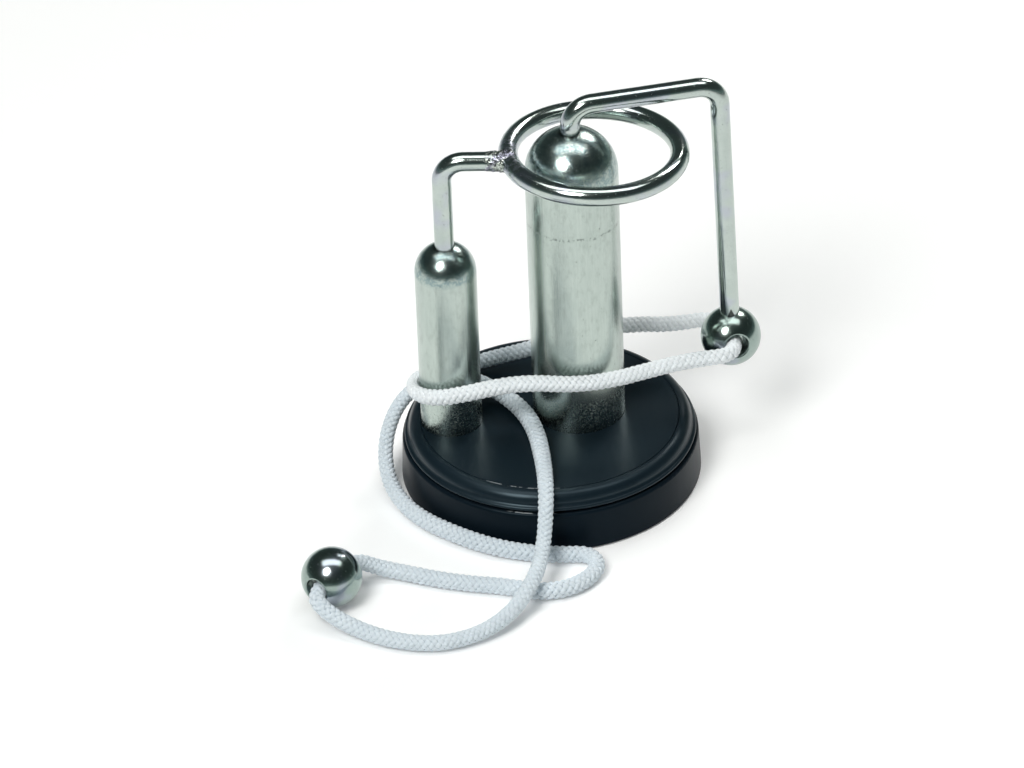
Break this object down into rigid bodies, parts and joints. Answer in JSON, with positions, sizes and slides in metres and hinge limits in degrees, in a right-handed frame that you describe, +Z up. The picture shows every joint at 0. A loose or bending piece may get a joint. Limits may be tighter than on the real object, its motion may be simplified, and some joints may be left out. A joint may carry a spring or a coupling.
{
  "type": "metal ring disentanglement puzzle",
  "caption": "Desk puzzle: round black base, tall and short domed metal pillars, a bent arm ending in a bored ball, a ring on a rod, and a looped white cord through a loose bored ball.",
  "frame": {"origin": "middle of the felt's underside, which is the face that the puzzle rests on", "axes": "+Z up; +X from the short pillar's side towards the tall pillar and the arm's ball; -Y towards the side where the loose ball lies"},
  "size_m": [0.096, 0.096, 0.0889],
  "materials": {
    "black_plastic": "moulded black plastic, semi-gloss, fine scuffs",
    "black_felt": "black felt",
    "zinc_steel": "bright zinc-plated steel",
    "nickel_bar": "nickel-plated steel, satin with fine lengthwise grain, polished dome",
    "nickel_wire": "nickel-plated wire, polished",
    "weld_metal": "plated weld bead, uneven, slightly heat tinted",
    "nickel_ball": "nickel-plated ball, mirror polish with light wear",
    "crimp_metal": "plain aluminium tube",
    "white_braid": "white braided polyester cord, matt"
  },
  "bodies": {
    "stand": {"base_skirt": "black_plastic", "base_top": "black_plastic", "base_pad": "black_felt", "ballast_plate": "zinc_steel", "tall_pillar": "nickel_bar", "short_pillar": "nickel_bar", "tall_pillar_screw": "zinc_steel", "short_pillar_screw": "zinc_steel", "tall_pillar_washer": "zinc_steel", "short_pillar_washer": "zinc_steel", "arm_rod": "nickel_wire", "ring_rod": "nickel_wire", "ring": "nickel_wire", "ring_weld": "weld_metal", "eye_ball": "nickel_ball", "cord_sleeve": "crimp_metal", "cord": "white_braid"},
    "loose_ball": {"free_ball": "nickel_ball"}
  },
  "joints": [
    {"name": "free_ball_turn", "type": "hinge", "parent": "stand", "child": "loose_ball", "pos_m": [-0.0456, -0.0451, 0.00625], "axis": [-0.5764, -0.8171, 0], "continuous": true}
  ]
}
